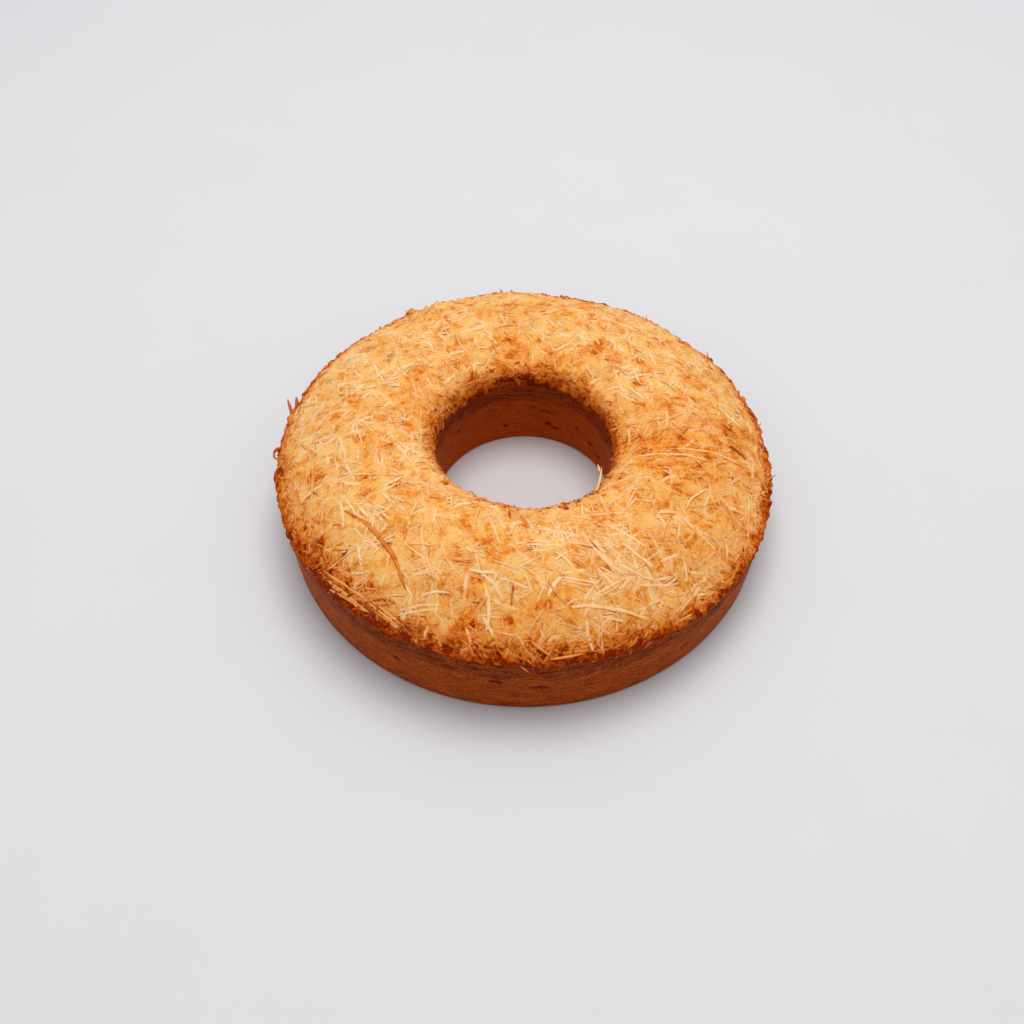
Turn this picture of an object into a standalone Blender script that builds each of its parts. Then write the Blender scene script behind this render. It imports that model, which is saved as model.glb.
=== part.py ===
"""A ring cake baked in a plain tube tin, its risen top covered with grated cheese.

Metres, +Z up.  The origin is the middle of the flat underside, the axis of the
hole is +Z, and -Y is the side that is seen first.
"""

import math
import random

import bmesh
import bpy
from mathutils import Vector

MM = 0.001

# The tin's shape: a shallow tube tin, a little wider at its mouth
BASE_RADIUS = 97.3 * MM
CROWN_RADIUS = 99.2 * MM
CROWN_HEIGHT = 29.7 * MM
HOLE_BASE_RADIUS = 37.2 * MM
HOLE_RIM_RADIUS = 35.8 * MM
HOLE_RIM_HEIGHT = 35.0 * MM
BASE_EDGE_ROUND = 1.0 * MM

# The risen top: a broad dome outside its ridge, a tighter roll into the hole
RIDGE_RADIUS = 61.0 * MM
RIDGE_HEIGHT = 49.2 * MM
OUTER_POWER = 1.9
OUTER_ROOT = 1.15
INNER_POWER = 2.2
INNER_ROOT = 3.3

# The cake rose more at the front and on the left: rise of the crown line per metre
LEAN_X = -0.029
LEAN_Y = -0.038

# It is also twisted: highest along one line across the cake, lowest square to it
TWIST_HEIGHT = 1.1 * MM
TWIST_AZIMUTH = math.radians(62.0)

# Broad swells of the top: waves per metre along X and Y, phase, height
SWELLS = (
    (9.0, 14.0, 0.4, 0.25 * MM),
    (-17.0, 8.0, 2.1, 0.30 * MM),
    (22.0, 19.0, 4.0, 0.30 * MM),
    (-6.0, 31.0, 1.2, 0.25 * MM),
)

TURN_STEPS = 72
OUTER_STATIONS = 9
INNER_STATIONS = 6
SHARP_ANGLE = math.radians(35.0)

# Grated cheese: flat strips, half sunk in the top, narrower at their tips
STRIP_THICKNESS = 1.5 * MM
STRIP_SUNK = 0.8 * MM
STRIP_SEGMENT = 6.0 * MM
TIP_SHARE = 0.45
TIP_POWER = 3

# The strips that stand out one by one, in millimetres and degrees:
# start X and Y, heading at the start, length, turn on the way, width
PLACED_STRIPS = (
    (-67, -43, -31, 42, -45, 2.2),
    (-41, -72, -76, 9, 0, 1.7),
    (-82, -4, -86, 52, -4, 1.3),
    (-71, -26, -12, 27, 18, 1.4),
    (-57, -47, 12, 11, 0, 1.5),
    (-51, -40, -37, 11, 0, 1.6),
    (-43, -49, -96, 12, 0, 1.8),
    (-35, -66, -4, 18, 0, 1.6),
    (-41, -71, 12, 12, 0, 2.4),
    (-20, -71, -98, 11, 0, 1.8),
    (-15, -75, -60, 16, -50, 1.8),
    (-13, -47, -73, 16, 0, 1.4),
    (-71, -65, -40, 20, 0, 2.6),
    (-55, -77, -39, 18, 0, 2.2),
    (-2, -44, -62, 10, -10, 1.9),
    (18, -44, 8, 22, -6, 1.8),
    (21, -51, -78, 27, 60, 1.9),
    (29, -48, -31, 19, 0, 1.9),
    (35, -57, -33, 16, 0, 1.9),
    (12, -73, -2, 18, -10, 2.2),
    (24, -79, 33, 14, 0, 2.6),
    (15, -83, 14, 30, -26, 1.8),
    (22, -85, -90, 10, 30, 2.0),
    (62, -69, -126, 12, 0, 2.2),
    (56, -39, -47, 12, 0, 1.9),
    (87, -29, -97, 16, 0, 1.5),
    (12, -96, 8, 12, 6, 1.9),
    (-45, 45, -53, 13, 0, 1.6),
    (-88, -4, -50, 14, 0, 1.8),
    (40, -13, 10, 34, -22, 1.5),
    (55, -9, 6, 38, -18, 1.5),
    (43, 18, -33, 7, 0, 2.2),
    (53, 14, 20, 12, -40, 2.2),
    (81, -2, -25, 8, 0, 2.2),
)

# The rest are spread evenly over the top
SCATTERED_STRIPS = 110
SCATTER_INNER_RADIUS = 41.0 * MM
SCATTER_OUTER_RADIUS = 98.0 * MM
SHORTEST_STRIP = 8.0 * MM
LONGEST_STRIP = 18.0 * MM
NARROWEST_STRIP = 1.4 * MM
WIDEST_STRIP = 2.0 * MM
STRIP_BEND = math.radians(20.0)
GOLDEN_ANGLE = math.pi * (3.0 - math.sqrt(5.0))
SEED = 7

# Crags where the crust broke open along the rear left of the top
CRAG_COUNT = 8
CRAG_FIRST_AZIMUTH = math.radians(104.0)
CRAG_LAST_AZIMUTH = math.radians(121.0)
CRAG_RADIUS = 90.0 * MM
CRAG_SCATTER = 3.0 * MM
SMALLEST_CRAG = 2.0 * MM
LARGEST_CRAG = 3.4 * MM

CRUST_COLOUR = (0.74, 0.34, 0.09, 1.0)
CRUST_ROUGHNESS = 0.6


def dome(radius):
    """Mean height of the risen top at a distance from the axis."""
    if radius > RIDGE_RADIUS:
        across = (radius - RIDGE_RADIUS) / (CROWN_RADIUS - RIDGE_RADIUS)
        foot, power, root = CROWN_HEIGHT, OUTER_POWER, OUTER_ROOT
    else:
        across = (RIDGE_RADIUS - radius) / (RIDGE_RADIUS - HOLE_RIM_RADIUS)
        foot, power, root = HOLE_RIM_HEIGHT, INNER_POWER, INNER_ROOT
    fall = 1.0 - min(across, 1.0) ** power
    return foot + (RIDGE_HEIGHT - foot) * fall ** (1.0 / root)


def risen(x, y, z):
    """Height of a point of the mean form once the cake has risen unevenly."""
    lean = 1.0 + (LEAN_X * x + LEAN_Y * y) / CROWN_HEIGHT
    twist = TWIST_HEIGHT * math.cos(2.0 * (math.atan2(y, x) - TWIST_AZIMUTH))
    swell = sum(
        height * math.sin(math.tau * (along * x + across * y) + phase)
        for along, across, phase, height in SWELLS
    )
    return z * lean + (twist + swell) * min(z / CROWN_HEIGHT, 1.0)


def top(x, y):
    """Point of the risen top above a place in the plan."""
    return Vector((x, y, risen(x, y, dome(math.hypot(x, y)))))


def top_normal(x, y):
    """Direction that points straight out of the risen top."""
    step = 0.5 * MM
    east = top(x + step, y) - top(x - step, y)
    north = top(x, y + step) - top(x, y - step)
    return east.cross(north).normalized()


def ring_profile():
    """Cross-section of the ring, down its outer side and back up the hole."""
    outer_wall = [
        (CROWN_RADIUS, CROWN_HEIGHT),
        (0.5 * (CROWN_RADIUS + BASE_RADIUS), 0.5 * CROWN_HEIGHT),
        (BASE_RADIUS, BASE_EDGE_ROUND),
        (BASE_RADIUS - BASE_EDGE_ROUND, 0.0),
    ]
    hole_wall = [
        (HOLE_BASE_RADIUS + BASE_EDGE_ROUND, 0.0),
        (HOLE_BASE_RADIUS, BASE_EDGE_ROUND),
        (0.5 * (HOLE_BASE_RADIUS + HOLE_RIM_RADIUS), 0.5 * HOLE_RIM_HEIGHT),
        (HOLE_RIM_RADIUS, HOLE_RIM_HEIGHT),
    ]
    inner_span = RIDGE_RADIUS - HOLE_RIM_RADIUS
    outer_span = CROWN_RADIUS - RIDGE_RADIUS
    radii = [
        RIDGE_RADIUS - inner_span * math.cos(0.5 * math.pi * i / INNER_STATIONS)
        for i in range(1, INNER_STATIONS + 1)
    ]
    radii += [
        RIDGE_RADIUS + outer_span * math.sin(0.5 * math.pi * i / OUTER_STATIONS)
        for i in range(1, OUTER_STATIONS)
    ]
    return outer_wall + hole_wall + [(radius, dome(radius)) for radius in radii]


def evaluated_copy(source, name, collection):
    """A plain mesh object of an object with its modifiers applied."""
    depsgraph = bpy.context.evaluated_depsgraph_get()
    mesh = bpy.data.meshes.new_from_object(source.evaluated_get(depsgraph))
    mesh.name = name
    copy = bpy.data.objects.new(name, mesh)
    collection.objects.link(copy)
    bpy.data.objects.remove(source)
    return copy


def turned_ring(collection):
    """The bare cake: its profile turned about Z, then risen unevenly."""
    corners = [(radius, 0.0, height) for radius, height in ring_profile()]
    sides = [(i, (i + 1) % len(corners)) for i in range(len(corners))]
    outline = bpy.data.meshes.new("profile")
    outline.from_pydata(corners, sides, [])
    turned = bpy.data.objects.new("turned", outline)
    collection.objects.link(turned)
    screw = turned.modifiers.new("Turn", "SCREW")
    screw.steps = screw.render_steps = TURN_STEPS
    screw.use_merge_vertices = True
    screw.merge_threshold = 0.00001
    ring = evaluated_copy(turned, "bare_ring", collection)
    for vertex in ring.data.vertices:
        vertex.co.z = risen(*vertex.co)
    return ring


def add_shape(shape, name, collection):
    """An object of a finished bmesh."""
    mesh = bpy.data.meshes.new(name)
    shape.to_mesh(mesh)
    shape.free()
    made = bpy.data.objects.new(name, mesh)
    collection.objects.link(made)


def arc_place(x, y, heading, length, turn, share):
    """Plan position and heading at a share of the way along an arc."""
    turned = turn * share
    chord = length * share
    if abs(turned) > 0.001:
        chord *= math.sin(0.5 * turned) / (0.5 * turned)
    course = heading + 0.5 * turned
    return x + chord * math.cos(course), y + chord * math.sin(course), heading + turned


def lay_strip(collection, x, y, heading, length, turn, width):
    """A flat strip of cheese along an arc on the top."""
    shape = bmesh.new()
    bmesh.ops.create_cube(shape, size=1.0)
    lengthways = [
        edge for edge in shape.edges
        if abs(edge.verts[0].co.x - edge.verts[1].co.x) > 0.5
    ]
    cuts = max(1, round(length / STRIP_SEGMENT) - 1)
    bmesh.ops.subdivide_edges(shape, edges=lengthways, cuts=cuts, use_grid_fill=True)
    for vertex in shape.verts:
        share = vertex.co.x + 0.5
        east, north, course = arc_place(x, y, heading, length, turn, share)
        taper = 1.0 - (1.0 - TIP_SHARE) * abs(2.0 * share - 1.0) ** TIP_POWER
        aside = vertex.co.y * width * taper
        east -= aside * math.sin(course)
        north += aside * math.cos(course)
        above = (vertex.co.z + 0.5) * STRIP_THICKNESS - STRIP_SUNK
        vertex.co = top(east, north) + above * top_normal(east, north)
    add_shape(shape, "strip", collection)


def stays_on_top(*arc):
    """Whether an arc keeps between the hole's rim and the crown."""
    for share in (0.0, 0.25, 0.5, 0.75, 1.0):
        east, north, _ = arc_place(*arc, share)
        if not SCATTER_INNER_RADIUS < math.hypot(east, north) < SCATTER_OUTER_RADIUS:
            return False
    return True


def scattered_strips():
    """Arcs spread evenly over the top.  One that would leave it lies along its edge."""
    draw = random.Random(SEED)
    inner = SCATTER_INNER_RADIUS ** 2
    outer = SCATTER_OUTER_RADIUS ** 2
    for index in range(SCATTERED_STRIPS):
        radius = math.sqrt(inner + (outer - inner) * (index + 0.5) / SCATTERED_STRIPS)
        azimuth = index * GOLDEN_ANGLE
        any_course = draw.uniform(0.0, math.tau)
        length = draw.triangular(SHORTEST_STRIP, LONGEST_STRIP, SHORTEST_STRIP)
        turn = draw.gauss(0.0, STRIP_BEND)
        width = draw.uniform(NARROWEST_STRIP, WIDEST_STRIP)
        for course in (any_course, azimuth + 0.5 * math.pi):
            x = radius * math.cos(azimuth) - 0.5 * length * math.cos(course)
            y = radius * math.sin(azimuth) - 0.5 * length * math.sin(course)
            heading = course - 0.5 * turn
            if stays_on_top(x, y, heading, length, turn):
                yield x, y, heading, length, turn, width
                break


def lay_cheese(collection):
    """All the strips that are large enough to count one by one."""
    for x, y, heading, length, turn, width in PLACED_STRIPS:
        place = (x * MM, y * MM, math.radians(heading))
        lay_strip(collection, *place, length * MM, math.radians(turn), width * MM)
    for arc in scattered_strips():
        lay_strip(collection, *arc)


def lay_crags(collection):
    """Rough lumps of crust, larger towards the last one."""
    draw = random.Random(SEED)
    for index in range(CRAG_COUNT):
        share = index / (CRAG_COUNT - 1)
        azimuth = CRAG_FIRST_AZIMUTH + (CRAG_LAST_AZIMUTH - CRAG_FIRST_AZIMUTH) * share
        radius = CRAG_RADIUS + draw.uniform(-CRAG_SCATTER, CRAG_SCATTER)
        size = SMALLEST_CRAG + (LARGEST_CRAG - SMALLEST_CRAG) * share
        place = top(radius * math.cos(azimuth), radius * math.sin(azimuth))
        shape = bmesh.new()
        bmesh.ops.create_icosphere(shape, subdivisions=1, radius=size)
        for vertex in shape.verts:
            vertex.co = place + vertex.co * draw.uniform(0.75, 1.15)
        add_shape(shape, "crag", collection)


def fuse(ring, toppings, name, collection):
    """One solid of the ring and everything that is sunk into it."""
    union = ring.modifiers.new("Fuse", "BOOLEAN")
    union.operation = "UNION"
    union.operand_type = "COLLECTION"
    union.collection = toppings
    cake = evaluated_copy(ring, name, collection)
    for topping in list(toppings.objects):
        bpy.data.objects.remove(topping)
    bpy.data.collections.remove(toppings)
    return cake


def finish_crust(cake):
    """Golden baked crust, smooth but for the edges of strips, crags and base."""
    crust = bpy.data.materials.new("baked_crust")
    crust.use_nodes = True
    shader = crust.node_tree.nodes["Principled BSDF"]
    shader.inputs["Base Color"].default_value = CRUST_COLOUR
    shader.inputs["Roughness"].default_value = CRUST_ROUGHNESS
    shader.inputs["Metallic"].default_value = 0.0
    cake.data.materials.clear()
    cake.data.materials.append(crust)
    cake.data.shade_smooth()
    cake.data.set_sharp_from_angle(angle=SHARP_ANGLE)


def main():
    for item in list(bpy.data.objects):
        bpy.data.objects.remove(item)
    collection = bpy.data.collections.new("ring cake")
    bpy.context.scene.collection.children.link(collection)
    toppings = bpy.data.collections.new("toppings")
    bpy.context.scene.collection.children.link(toppings)
    ring = turned_ring(collection)
    lay_cheese(toppings)
    lay_crags(toppings)
    cake = fuse(ring, toppings, "ring_cake", collection)
    finish_crust(cake)


main()
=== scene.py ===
"""A baked ring cake with a golden crust under toasted grated cheese.

Metres, +Z up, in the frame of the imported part.  The crust stands for the plain
solid, and every kind of shred and crumb is one piece of its own.
"""

import itertools
import math
import random

import bmesh
import bpy
import numpy as np
from mathutils import Matrix, Vector


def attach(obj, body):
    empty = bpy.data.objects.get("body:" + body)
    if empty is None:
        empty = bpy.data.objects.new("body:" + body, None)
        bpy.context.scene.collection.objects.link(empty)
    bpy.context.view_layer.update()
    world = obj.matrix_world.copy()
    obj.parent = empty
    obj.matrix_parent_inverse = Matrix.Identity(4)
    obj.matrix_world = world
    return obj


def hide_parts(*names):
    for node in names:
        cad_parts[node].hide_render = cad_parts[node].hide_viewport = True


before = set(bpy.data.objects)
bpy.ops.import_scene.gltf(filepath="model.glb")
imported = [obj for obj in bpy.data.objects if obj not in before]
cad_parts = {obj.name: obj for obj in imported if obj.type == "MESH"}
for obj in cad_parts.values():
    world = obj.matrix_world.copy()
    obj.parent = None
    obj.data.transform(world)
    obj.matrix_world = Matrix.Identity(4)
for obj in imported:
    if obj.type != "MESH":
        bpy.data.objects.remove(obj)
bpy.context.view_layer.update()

MM = 0.001

# ---------------- the cake's form

BASE_RADIUS = 97.3 * MM
CROWN_RADIUS = 99.2 * MM
CROWN_HEIGHT = 29.7 * MM
HOLE_BASE_RADIUS = 37.2 * MM
HOLE_RIM_RADIUS = 35.8 * MM
HOLE_RIM_HEIGHT = 35.0 * MM
BASE_EDGE_ROUND = 1.0 * MM
RIDGE_RADIUS = 61.0 * MM
RIDGE_HEIGHT = 49.2 * MM
OUTER_POWER = 1.9
OUTER_ROOT = 1.15
INNER_POWER = 2.2
INNER_ROOT = 3.3
FALL_PAST_EDGES = 1.3
LEAN_X = -0.029
LEAN_Y = -0.038
TWIST_HEIGHT = 1.1 * MM
TWIST_AZIMUTH = math.radians(62.0)
SWELLS = (
    (9.0, 14.0, 0.4, 0.25 * MM),
    (-17.0, 8.0, 2.1, 0.30 * MM),
    (22.0, 19.0, 4.0, 0.30 * MM),
    (-6.0, 31.0, 1.2, 0.25 * MM),
)

TURN_STEPS = 560
TOP_ROWS = 90
WALL_ROWS = 38
HOLE_ROWS = 40
UNDERSIDE_ROWS = 5
IN_HOLE, ON_TOP, ON_WALL, UNDERNEATH = range(4)

CRAG_COUNT = 8
CRAG_CORNERS = 12
CRAG_FIRST_AZIMUTH = math.radians(104.0)
CRAG_LAST_AZIMUTH = math.radians(121.0)
CRAG_RADIUS = 90.0 * MM
CRAG_SCATTER = 3.0 * MM
SMALLEST_CRAG = 2.0 * MM
LARGEST_CRAG = 3.4 * MM

MEAN_BROWN = 0.28
DARK_SIDE_AZIMUTH = math.radians(-138.0)

# Places that baked paler or browner than the rest, in millimetres:
# X and Y, radius, and how much browner
BAKED_PATCHES = (
    (-45, -81, 7, -0.12), (-66, -52, 5, -0.08), (-38, -22, 12, -0.05), (-6, -89, 22, 0.06),
    (-60, 30, 24, -0.04), (66, -12, 28, 0.14), (60, -62, 20, 0.06), (62, 3, 6, 0.12),
    (76, -21, 6, 0.11), (57, -25, 5, 0.10), (84, 5, 5, 0.12), (50, 11, 5, 0.10),
    (70, 30, 5, 0.10), (48, -6, 12, 0.08), (31, 47, 3.5, 0.22), (38, 40, 3.5, 0.20),
    (57, 15, 4, 0.18), (-62, -8, 5, 0.10), (-70, 17, 5, 0.10), (-48, 22, 5, 0.09),
    (-56, -30, 5, 0.09), (-79, -21, 5, 0.09), (2, 46, 10, 0.12), (-24, 40, 9, 0.08),
    (-80, -50, 9, 0.14), (8, -46, 9, 0.06), (41, -88, 8, 0.16), (13, -81, 6, 0.14),
    (-72, -60, 7, 0.06), (-20, -88, 20, 0.06), (57, 36, 14, -0.10), (-31, -54, 7, -0.08),
    (19, -96, 9, 0.08), (-95, 12, 12, -0.12), (-84, 42, 12, -0.10), (-80, -57, 6, 0.14),
    (-71, -68, 6, 0.20), (-57, -80, 6, 0.20), (20, -66, 18, -0.05),
)

# Share of the loose shreds that fell on a usual place, and the places where more
# or fewer fell, in millimetres: X and Y, radius, and how many more
MEAN_COVER = 0.55
CHEESE_PATCHES = (
    (-31, -55, 9, -0.50), (-18, -49, 8, -0.40), (-45, -66, 8, -0.30), (-30, -91, 7, -0.40),
    (13, -81, 7, -0.40), (41, -88, 7, -0.40), (15, 63, 13, -0.30), (-75, -13, 8, -0.25),
    (-64, -50, 8, -0.30), (38, -64, 15, 0.45), (20, -56, 10, 0.30), (-62, 14, 18, 0.35),
    (4, 37, 9, 0.45), (-40, -11, 9, 0.45), (86, 15, 12, 0.25), (72, -8, 16, 0.25),
)

# Places where the shreds lie more one way: X, Y and radius, then their heading
COMBED_PATCHES = (
    (70, -8, 18, 2), (-41, -8, 9, -58), (-62, 14, 16, 14), (-86, 10, 10, 62),
    (30, -58, 14, -48), (-88, -30, 10, -80), (80, 30, 14, -52),
)
COMBED_SPREAD = math.radians(26.0)

# Shallow tears that the tin left in the outer wall and in the hole's: azimuth,
# then height over the base, width and tallness in millimetres
TEAR_DEPTH = 0.45 * MM
OUTER_TEARS = (
    (-87, 15, 8.0, 2.2), (-96, 18, 6.0, 1.8), (-76, 13, 3.0, 0.8), (-106, 22, 8.0, 1.3),
    (-119, 15, 4.0, 1.4), (-52, 12, 5.0, 1.0), (-20, 15, 4.0, 1.1), (18, 11, 6.0, 1.2),
    (47, 14, 3.5, 0.9), (85, 12, 5.5, 1.1), (112, 16, 4.0, 0.9), (150, 13, 6.0, 1.2),
    (188, 12, 4.0, 1.0), (214, 15, 3.5, 0.9),
)
HOLE_TEARS = (
    (75, 19, 6.0, 1.6), (84, 21, 5.0, 1.1), (74, 11, 4.0, 2.6), (69, 9, 3.5, 1.8),
    (103, 9, 2.4, 1.8), (40, 12, 4.0, 2.2), (32, 8, 5.0, 1.8), (52, 15, 2.0, 1.4),
    (140, 20, 4.0, 1.4), (200, 18, 5.0, 1.5), (265, 22, 4.5, 1.4), (300, 15, 5.0, 1.5),
)

# ---------------- grated cheese and crumbs

# Strips that stand out one by one, in millimetres and degrees: start X and Y,
# heading at the start, length, turn on the way, width, and how toasted they are
PLACED_STRIPS = (
    (-67, -43, -31, 42, -45, 2.0, 0.66),
    (-41, -72, -76, 9, 0, 1.7, 0.50),
    (-82, -4, -86, 52, -4, 1.3, 0.38),
    (-71, -26, -12, 27, 18, 1.4, 0.34),
    (-57, -47, 12, 11, 0, 1.5, 0.28),
    (-51, -40, -37, 11, 0, 1.6, 0.25),
    (-43, -49, -96, 12, 0, 1.8, 0.62),
    (-35, -66, -4, 18, 0, 1.6, 0.36),
    (-41, -71, 12, 12, 0, 2.4, 0.10),
    (-20, -71, -98, 11, 0, 1.8, 0.24),
    (-15, -75, -60, 16, -50, 1.8, 0.12),
    (-13, -47, -73, 16, 0, 1.4, 0.26),
    (-75, -61.5, -42, 27, 5, 2.4, 0.42),
    (-72.6, -66.2, -41, 22, 5, 2.3, 0.38),
    (-58, -74.6, -39, 22, 1, 2.2, 0.36),
    (-56.5, -77.4, -38, 18, 1, 1.4, 0.52),
    (-2, -44, -62, 10, -10, 1.9, 0.66),
    (18, -44, 8, 22, -6, 1.8, 0.26),
    (21, -51, -78, 27, 60, 1.9, 0.20),
    (29, -48, -31, 19, 0, 1.9, 0.18),
    (35, -57, -33, 16, 0, 1.9, 0.15),
    (12, -73, -2, 18, -10, 2.2, 0.06),
    (24, -79, 33, 14, 0, 2.6, 0.05),
    (15, -83, 14, 30, -26, 1.8, 0.22),
    (22, -85, -90, 10, 30, 2.0, 0.16),
    (62, -69, -126, 12, 0, 2.2, 0.22),
    (56, -39, -47, 12, 0, 1.9, 0.24),
    (87, -29, -97, 16, 0, 1.5, 0.30),
    (12, -96, 8, 12, 6, 1.9, 0.62),
    (-45, 45, -53, 13, 0, 1.6, 0.45),
    (-88, -4, -50, 14, 0, 1.8, 0.52),
    (40, -13, 10, 34, -22, 1.5, 0.30),
    (55, -9, 6, 38, -18, 1.5, 0.34),
    (43, 18, -33, 7, 0, 2.1, 0.64),
    (53, 14, 20, 12, -40, 2.1, 0.62),
    (81, -2, -25, 8, 0, 2.1, 0.88),
    (-72, -55, 6, 9, 0, 1.3, 0.30),
    (-75, -54, -32, 11, 0, 1.3, 0.42),
    (-34, -58, -94, 9, 0, 1.2, 0.58),
    (-45, -58, -41, 13, 0, 1.3, 0.30),
    (-41, -72, 9, 11, 0, 1.5, 0.18),
    (-23, -45, 10, 12, 0, 1.2, 0.34),
    (-4, -60, -83, 9, 73, 1.2, 0.20),
    (-4, -76, -95, 7, 0, 0.9, 0.74),
    (-46, -82, 1, 20, 0, 2.6, 0.04),
    (-38, -79, 22, 13, -41, 1.6, 0.12),
    (-15, -85, -58, 9, 0, 1.6, 0.18),
    (-21, -88, -68, 8, 0, 1.5, 0.30),
    (-34, -87, -114, 4, 0, 1.5, 0.28),
    (-24, -96, 18, 8, 0, 1.4, 0.60),
    (17, -46, -114, 11, 0, 1.2, 0.28),
    (27, -57, -35, 12, 0, 1.4, 0.16),
    (12, -71, 10, 10, 0, 1.8, 0.06),
    (26, -68, -43, 10, 0, 1.4, 0.18),
    (38, -69, -120, 6, 0, 1.5, 0.14),
    (63, -72, 23, 9, 0, 1.4, 0.55),
    (60, -63, 16, 8, 0, 1.6, 0.26),
    (62, -67, 43, 5, 0, 1.8, 0.10),
    (54, -81, 35, 19, 0, 1.2, 0.45),
    (58, -56, -81, 11, 0, 1.4, 0.24),
    (48, -63, 34, 12, 0, 1.4, 0.22),
    (90, -27, -98, 14, 0, 1.3, 0.30),
    (66, -48, -38, 8, 0, 1.4, 0.30),
    (0, -72, -64, 8, 0, 1.4, 0.18),
    (4, -73, -53, 5, 0, 1.4, 0.22),
    (-2, -89, -30, 8, 0, 1.4, 0.40),
    (-53, 49, -88, 18, 0, 1.0, 0.28),
    (-54, 7, -67, 12, 0, 1.2, 0.58),
    (-56, -5, -88, 17, 0, 1.1, 0.50),
    (-85, 35, -140, 16, 50, 1.0, 0.24),
    (-31, 36, -43, 9, 0, 1.0, 0.34),
    (29, 50, -66, 9, 0, 1.6, 0.72),
    (31.5, 52, -82, 7, 0, 1.3, 0.66),
    (26, 47.5, -14, 8, 0, 1.4, 0.64),
    (33, 40, -18, 10, 0, 1.6, 0.68),
    (39, 7, 22, 11, 0, 1.2, 0.30),
    (41, 29, 19, 15, 0, 1.2, 0.16),
    (-41, 4, -84, 14, -10, 1.3, 0.30),
    (-39.5, -2, -72, 13, 10, 1.2, 0.42),
    (-43, 2, -80, 15, 8, 1.4, 0.26),
    (-38.6, -8, -62, 12, 14, 1.3, 0.44),
    (-42, -10, -57, 14, 10, 1.4, 0.28),
    (-36.4, -17, -48, 12, 12, 1.2, 0.42),
    (-38, -21, -42, 12, 8, 1.4, 0.28),
    (-33, -25, -38, 11, 10, 1.2, 0.44),
    (-30, -33, -26, 12, 8, 1.3, 0.36),
    (-27, -36, -14, 14, 10, 1.3, 0.46),
    (-24, -39, -8, 13, 6, 1.4, 0.36),
    (-22, -42, -2, 12, 4, 1.3, 0.44),
    (-41, 13, -96, 12, 14, 1.2, 0.36),
    (-38.5, 28, -20, 12, 24, 1.4, 0.34),
    (-20, 31, 33, 17, -26, 1.4, 0.66),
    (-27, 26.5, 44, 13, -22, 1.2, 0.56),
    (0, 38, 2, 10, -18, 1.2, 0.60),
    (9, 37, -12, 12, -22, 1.2, 0.54),
    (21, 31.5, -32, 12, -20, 1.3, 0.58),
    (30, 23.5, -48, 13, -22, 1.2, 0.52),
    (-36, 12, 62, 10, -16, 1.2, 0.50),
)

# Strips that stand up or out from the edges, in millimetres: where the foot is,
# where it bows to and where its tip is, each X, Y and Z, then width and browning
STANDING_STRIPS = (
    (26.2, -30.6, 42.6, 29.4, -23.5, 43.6, 29.9, -15.5, 43.2, 1.3, 0.22),
    (28.9, -18.2, 43.5, 29.0, -16.0, 44.2, 28.4, -14.6, 43.6, 0.9, 0.26),
    (-20.3, 29.9, 35.0, -22.0, 30.6, 42.5, -21.4, 33.8, 45.2, 0.9, 0.92),
    (-95.8, 21.2, 32.0, -96.8, 23.6, 33.6, -98.2, 27.2, 35.4, 1.5, 0.78),
    (-94.0, 24.0, 31.8, -94.6, 26.4, 33.2, -94.8, 29.0, 34.8, 1.9, 0.80),
    (-96.4, 3.4, 31.8, -101.4, 4.4, 32.2, -101.2, 0.2, 32.0, 1.8, 0.80),
    (-101.2, 0.8, 32.0, -101.2, -2.8, 32.0, -97.4, -2.0, 32.2, 1.0, 0.76),
    (82.6, 54.0, 26.0, 79.3, 56.0, 28.4, 78.8, 59.0, 31.0, 0.7, 0.72),
    (95.2, 15.9, 28.8, 97.0, 17.2, 30.4, 97.6, 19.5, 29.6, 0.8, 0.62),
    (93.3, -15.1, 31.6, 98.0, -11.6, 32.2, 100.6, -7.6, 28.6, 0.8, 0.58),
    (93.3, -21.9, 31.0, 97.0, -23.0, 31.4, 98.5, -21.0, 27.8, 0.8, 0.56),
    (2.3, -93.1, 41.2, 6.0, -95.6, 39.8, 9.4, -96.9, 37.2, 1.5, 0.52),
    (5.9, -98.9, 34.0, 9.2, -95.6, 38.4, 11.9, -92.6, 41.4, 1.4, 0.60),
    (9.0, -97.6, 36.4, 15.0, -97.2, 37.2, 21.1, -95.6, 37.0, 1.2, 0.56),
    (-4.0, -97.0, 35.6, -1.0, -99.2, 34.0, 1.6, -100.2, 31.4, 1.0, 0.60),
    (-5.0, -47.0, 51.4, -7.0, -38.6, 52.4, -1.6, -42.6, 50.8, 0.8, 0.60),
    (-19.5, -38.6, 51.0, -16.0, -34.6, 51.6, -11.2, -40.0, 50.4, 1.0, 0.48),
)

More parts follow.
